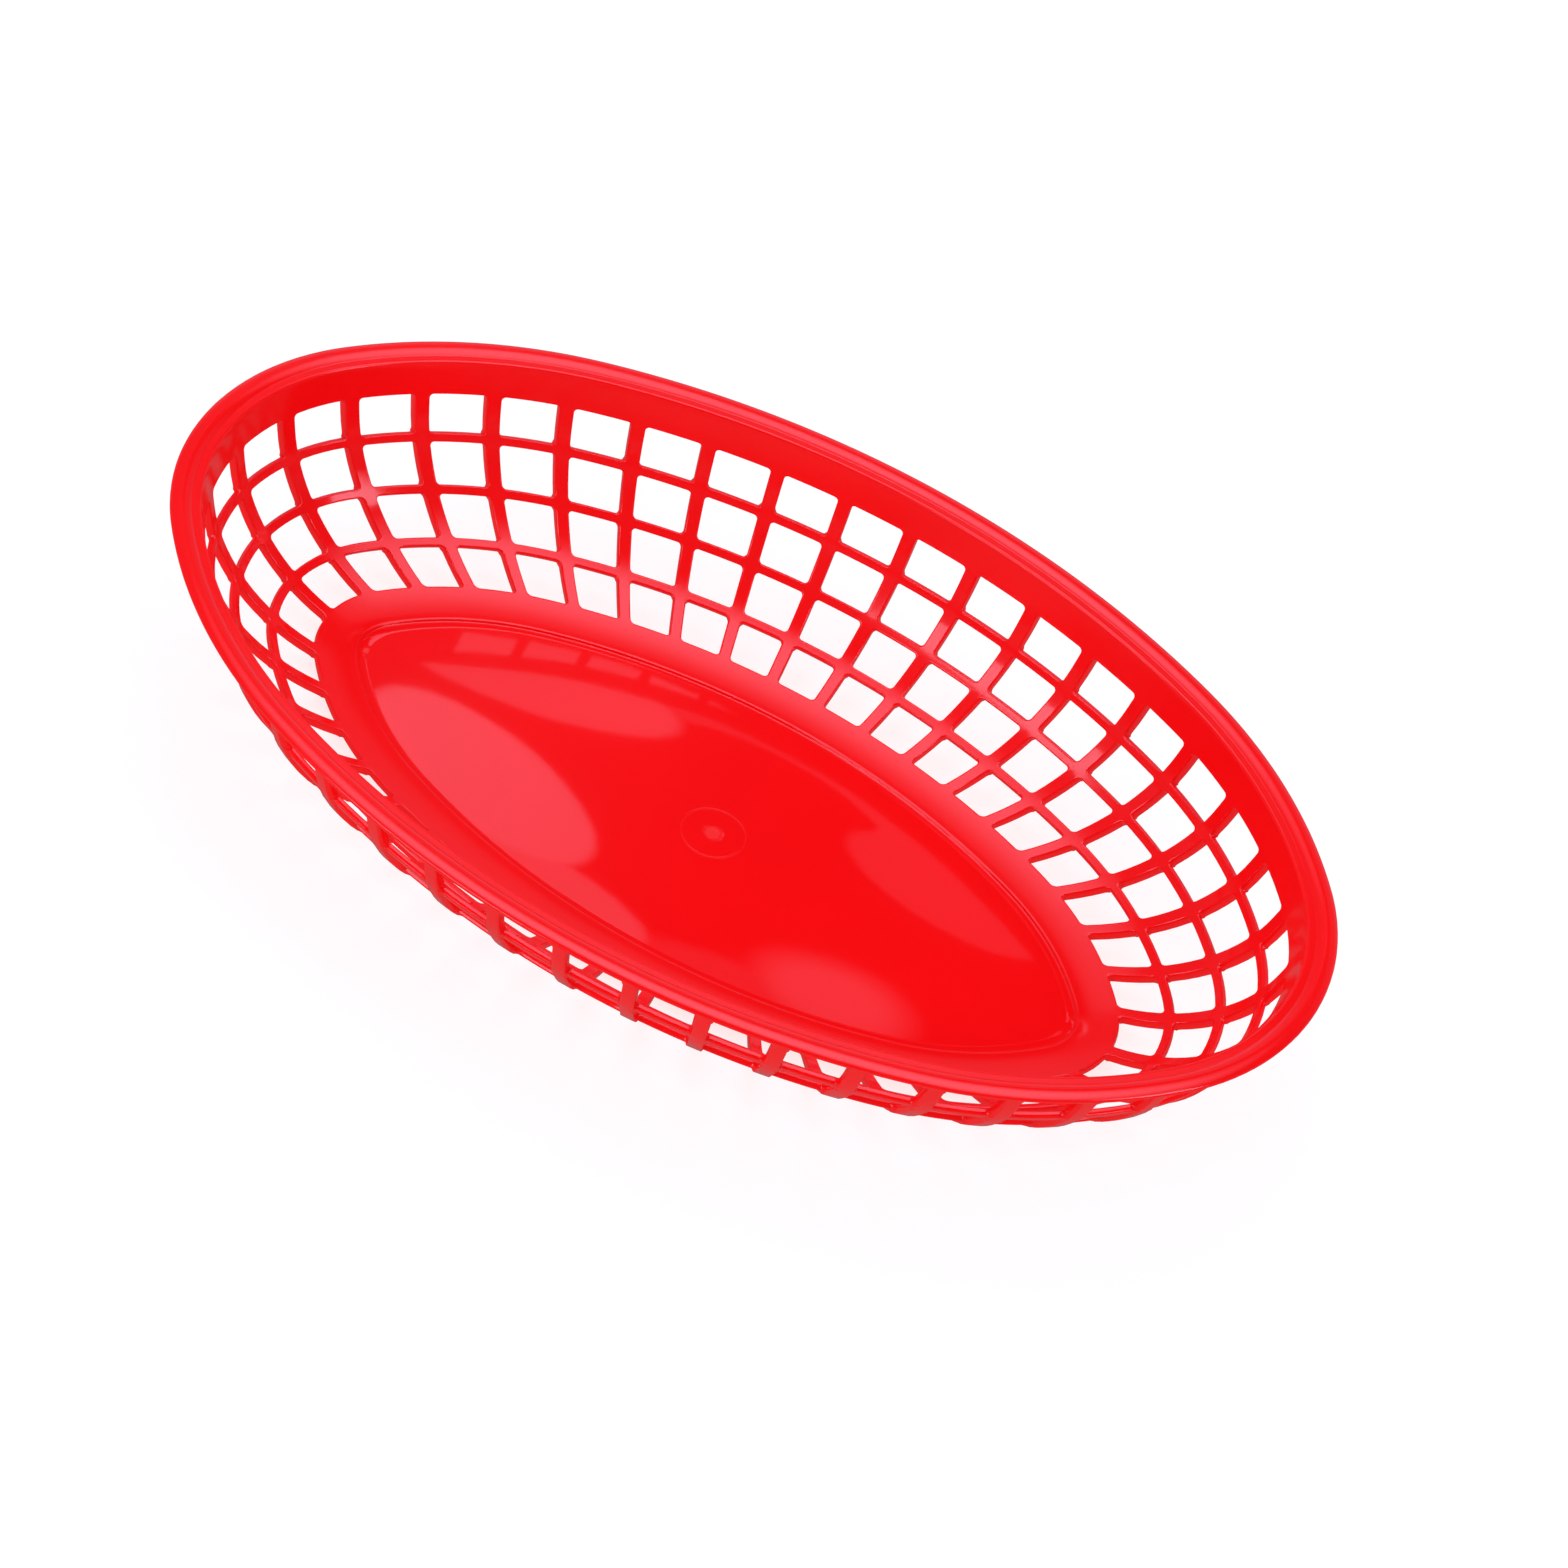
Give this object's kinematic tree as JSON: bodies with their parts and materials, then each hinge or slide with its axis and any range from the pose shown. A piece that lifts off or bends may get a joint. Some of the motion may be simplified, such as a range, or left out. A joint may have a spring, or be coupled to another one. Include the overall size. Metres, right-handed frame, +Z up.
{
  "type": "fast food basket",
  "caption": "Shallow oval plastic serving basket with an open lattice wall, an outward flanged rim and a flat closed floor.",
  "frame": {"origin": "middle of the footprint at the underside of the foot ring", "axes": "+X along the basket's length, +Y across its width, +Z up"},
  "size_m": [0.238, 0.15, 0.039],
  "materials": {
    "plastic": "glossy moulded red plastic, very slightly translucent"
  },
  "bodies": {
    "root": {"basket": "plastic"}
  },
  "joints": []
}
